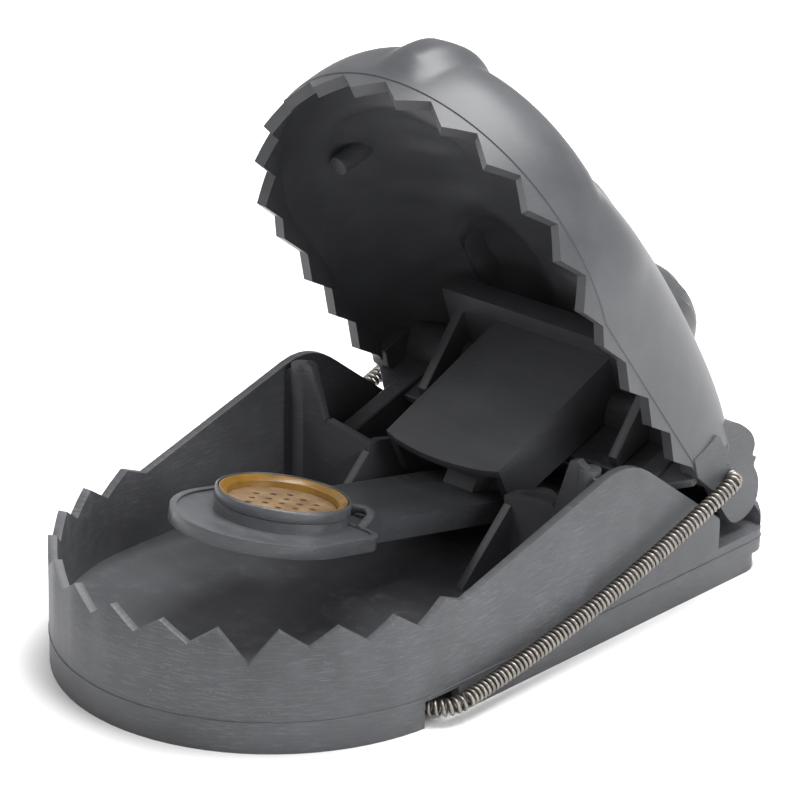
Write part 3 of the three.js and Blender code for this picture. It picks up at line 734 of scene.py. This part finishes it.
def shell_boss():
    """The round moulding boss on the inside of the shell, in the left cheek's hollow."""
    points = []
    for depth, radius in PEG_RINGS:
        for k in range(PEG_SIDES):
            a = 2 * math.pi * k / PEG_SIDES
            x = PEG[0] + radius * math.cos(a)
            across = (abs(x) / (HALF_WIDTH - WALL)) ** 3
            roof = RIM + (spine_top(PEG[1]) - WALL - RIM) * (1 - across) ** (1 / 3)
            z = roof + 0.6 if depth == 0 else 28.6 - depth
            points.append(to_row((x, PEG[1] + radius * math.sin(a), z)))
    n = PEG_SIDES
    faces = [(i * n + k, i * n + (k + 1) % n, (i + 1) * n + (k + 1) % n, (i + 1) * n + k)
             for i in range(len(PEG_RINGS) - 1) for k in range(n)]
    faces += [tuple(range(n)), tuple(range(4 * n - 1, 3 * n - 1, -1))]
    smooth(jaw_part("shell_boss", (points, faces)), 40)


jaw_handle()
jaw_back_wall()
for arm_label, arm_side in (("left", -1), ("right", 1)):
    jaw_arm(arm_label, arm_side)
    spring_lug(arm_label, arm_side)
shell_boss()


# ---- CAD nodes that keep their shape ---------------------------------------------------------
finish_cad_node("lower_jaw", BODY, 0.22)
finish_cad_node("latch_channel", SHELL, 0.2)
finish_cad_node("trigger_pedal", TRIGGER, 0.42, 4)
finish_cad_node("bait_cup", TRIGGER, 0.12, flatten=False)
finish_cad_node("bait_tray", AMBER, 0.05, flatten=False)
finish_cad_node("bait_cover", TAN, 0.03, flatten=False)
for pin_name in ("jaw_hinge_pin_left", "jaw_hinge_pin_right", "trigger_pin"):
    finish_cad_node(pin_name, STEEL, 0.15)


# ---- small mouldings on the lower jaw and in the cup -------------------------------------------
REAR = 66.2
REAR_CORNER = 3.0
BEAD_Z = 4.25


def wall_outline():
    """Points round the outside of the lower wall."""
    straight = REAR - REAR_CORNER
    side = HALF_WIDTH - REAR_CORNER
    turn = [(REAR_CORNER * math.cos(t), REAR_CORNER * math.sin(t)) for t in np.linspace(0.1, 1.5, 9)]
    front = np.linspace(-math.pi / 2, math.pi / 2, 97)
    outline = [(HALF_WIDTH * math.sin(t), -NOSE * math.cos(t)) for t in front]
    outline += [(HALF_WIDTH, y) for y in np.linspace(2, 62, 31)]
    outline += [(side + a, straight + b) for a, b in turn]
    outline += [(x, REAR) for x in np.linspace(24, -24, 25)]
    outline += [(-side - b, straight + a) for a, b in turn]
    outline += [(-HALF_WIDTH, y) for y in np.linspace(62, 2, 31)]
    return outline


def parting_bead():
    """The fine ridge that the two halves of the mould leave round the wall."""
    line = np.array(wall_outline())
    ahead = np.roll(line, -1, axis=0) - np.roll(line, 1, axis=0)
    ahead /= np.linalg.norm(ahead, axis=1)[:, None]
    out = np.stack([ahead[:, 1], -ahead[:, 0]], axis=1)
    profile = [(-0.2, -0.14), (0.05, -0.1), (0.11, 0.0), (0.05, 0.1), (-0.2, 0.14)]
    points = [(p[0] + o[0] * d, p[1] + o[1] * d + SHIFT, BEAD_Z + h)
              for p, o in zip(line, out) for d, h in profile]
    n = len(profile)
    count = len(line)
    faces = [(i * n + k, ((i + 1) % count) * n + k, ((i + 1) % count) * n + (k + 1) % n, i * n + (k + 1) % n)
             for i in range(count) for k in range(n)]
    return points, faces


bead = piece("parting_line", *parting_bead(), BODY, "base", "body_plastic")
smooth(bead, 20)


# The cup, measured from the pedal's pivot: the plate's top, the cup's reach and depth, its floor.
PLATE_TOP = 1.25
CUP_REACH = -52.8
CUP_DEPTH = 2.4
TRAY_FLOOR = 0.8 + 0.12 + 0.4
COLLAR = 3.1
COVER_DROP = 1.5
HOLE_PITCH = 2.3
PASTE_RADIUS = 6.6


def bait_and_hole_shade_material():
    mat, tree, shader, coords = new_material("bait_and_hole_shade")
    tint = spread(tree, noise(tree, coords, 900, 4), 0.35, 0.65, 0, 1)
    # Dark brown: the bait's colour, and painted shade where the plugs fill the cover's holes.
    base = mixed(tree, tint, (0.030, 0.016, 0.008), (0.085, 0.045, 0.018))
    tree.links.new(base, shader.inputs["Base Color"])
    shader.inputs["Roughness"].default_value = 0.5
    bumped(tree, shader, noise(tree, coords, 1400, 3), 0.5, 0.0002)
    return mat


def paste_body(floor_z):
    """The lump of bait, uneven on top and flat below."""
    rings = 9
    around = 36
    points = []
    for i in range(rings):
        r = PASTE_RADIUS * (i / (rings - 1)) ** 0.7
        for k in range(around):
            a = 2 * math.pi * k / around
            lump = 0.12 * math.sin(3 * a + i) + 0.1 * math.cos(5 * a - 1.7 * i)
            z = floor_z + 1.5 + lump * min(1, r / 2)
            points.append(on_pedal((r * math.cos(a), CUP_REACH + r * math.sin(a), z)))
    for k in range(around):
        a = 2 * math.pi * k / around
        x = PASTE_RADIUS * math.cos(a)
        points.append(on_pedal((x, CUP_REACH + PASTE_RADIUS * math.sin(a), floor_z + 0.05)))
    faces = [(i * around + k, i * around + (k + 1) % around, (i + 1) * around + (k + 1) % around,
              (i + 1) * around + k) for i in range(rings) for k in range(around)]
    faces.append(tuple(range((rings + 1) * around - 1, rings * around - 1, -1)))
    return points, faces


def hole_shade_plug(x, y, floor_z, cover_top):
    """Dark plug in one hole of the cover: painted shade that darkens the hole, shaped as bait pressed up
    into it.
    """
    n = 8
    points = []
    for z, radius in ((floor_z + 1.3, 0.42), (cover_top - 0.1, 0.45), (cover_top - 0.03, 0.3)):
        points += [on_pedal((x + radius * math.cos(a), CUP_REACH + y + radius * math.sin(a), z))
                   for a in np.linspace(0, 2 * math.pi, n, endpoint=False)]
    faces = [(i * n + k, i * n + (k + 1) % n, (i + 1) * n + (k + 1) % n, (i + 1) * n + k)
             for i in range(2) for k in range(n)]
    faces += [tuple(2 * n + k for k in range(n)), tuple(n - 1 - k for k in range(n))]
    return points, faces


def bait_and_hole_shade():
    """Soft bait under the perforated cover, with dark plugs in its holes that are painted shade."""
    floor_z = PLATE_TOP - CUP_DEPTH + TRAY_FLOOR
    cover_top = PLATE_TOP + COLLAR - COVER_DROP
    solids = [paste_body(floor_z)]
    for row in range(-3, 4):
        for column in range(-3, 4):
            x = (column + (0.5 if row % 2 else 0)) * HOLE_PITCH
            y = row * HOLE_PITCH * 0.87
            if math.hypot(x, y) <= 6.2:
                # Each plug is painted shade: a dark fill standing in the hole to darken it.
                solids.append(hole_shade_plug(x, y, floor_z, cover_top))
    made = piece("bait_and_hole_shade", *joined(*solids), bait_and_hole_shade_material(), "trigger", "bait_amber", merge=0.001)
    smooth(made, 60)


bait_and_hole_shade()


def tail_loop():
    """The rounded bar behind the cup, from the top of the arm round to the plate's rear edge."""
    path = [on_pedal(p) for p in ((3.0, -43.0, 1.2), (3.6, -42.9, 2.1), (5.4, -42.6, 2.4), (7.0, -43.4, 2.2),
                                  (7.9, -45.2, 1.8), (8.3, -46.9, 1.1))]
    made = piece("plate_bar", *tube(round_path(path), 0.62), TRIGGER, "trigger", "trigger_plastic")
    smooth(made, 60)


tail_loop()


# ---- stage -------------------------------------------------------------------------------------
floor_mesh = bpy.data.meshes.new("floor")
floor_mesh.from_pydata([(-3, -3, 0), (3, -3, 0), (3, 3, 0), (-3, 3, 0)], [], [(0, 1, 2, 3)])
floor_mesh.materials.append(floor_paper())
floor = bpy.data.objects.new("floor", floor_mesh)
bpy.context.scene.collection.objects.link(floor)


def soft_light(name, place, target, size, power):
    data = bpy.data.lights.new(name, "AREA")
    data.shape = "RECTANGLE"
    data.size = size[0]
    data.size_y = size[1]
    data.energy = power
    lamp = bpy.data.objects.new(name, data)
    lamp.location = place
    lamp.rotation_mode = "QUATERNION"
    lamp.rotation_quaternion = (Vector(target) - Vector(place)).to_track_quat("-Z", "Y")
    bpy.context.scene.collection.objects.link(lamp)
    return lamp


soft_light("overhead", (0.05, 0.22, 0.75), (0, 0, 0.02), (0.6, 0.5), 9.6)
soft_light("left_front", (-0.50, -0.45, 0.62), (0, 0, 0.01), (0.35, 0.3), 1.6)
soft_light("right_fill", (0.75, 0.02, 0.36), (0, 0, 0.03), (0.45, 0.4), 3.6)

world = bpy.data.worlds.new("studio")
world.use_nodes = True
world.node_tree.nodes["Background"].inputs["Color"].default_value = (1, 1, 1, 1)
world.node_tree.nodes["Background"].inputs["Strength"].default_value = 0.42
bpy.context.scene.world = world
bpy.context.scene.view_settings.view_transform = "Standard"


# ---- camera at the photograph's angle --------------------------------------------------------
def photo_camera(azimuth, elevation, roll, target, distance, focal):
    a = math.radians(azimuth)
    e = math.radians(elevation)
    r = math.radians(roll)
    back = Vector((math.sin(a) * math.cos(e), -math.cos(a) * math.cos(e), math.sin(e)))
    right = Vector((math.cos(a), math.sin(a), 0))
    up = back.cross(right)
    across = right * math.cos(r) + up * math.sin(r)
    above = up * math.cos(r) - right * math.sin(r)
    data = bpy.data.cameras.new("photo_camera")
    data.sensor_width = 36
    data.lens = focal
    data.clip_start = 0.01
    data.clip_end = 20
    cam = bpy.data.objects.new("photo_camera", data)
    place = Vector(target) + back * distance
    turn = Matrix((across, above, back)).transposed().to_4x4()
    cam.matrix_world = Matrix.Translation(place) @ turn
    bpy.context.scene.collection.objects.link(cam)
    bpy.context.scene.camera = cam


photo_camera(41.904, 22.518, 1.043, (-0.007978, (31.766 + SHIFT) * MM, 0.0232), 0.548069, 184.75)
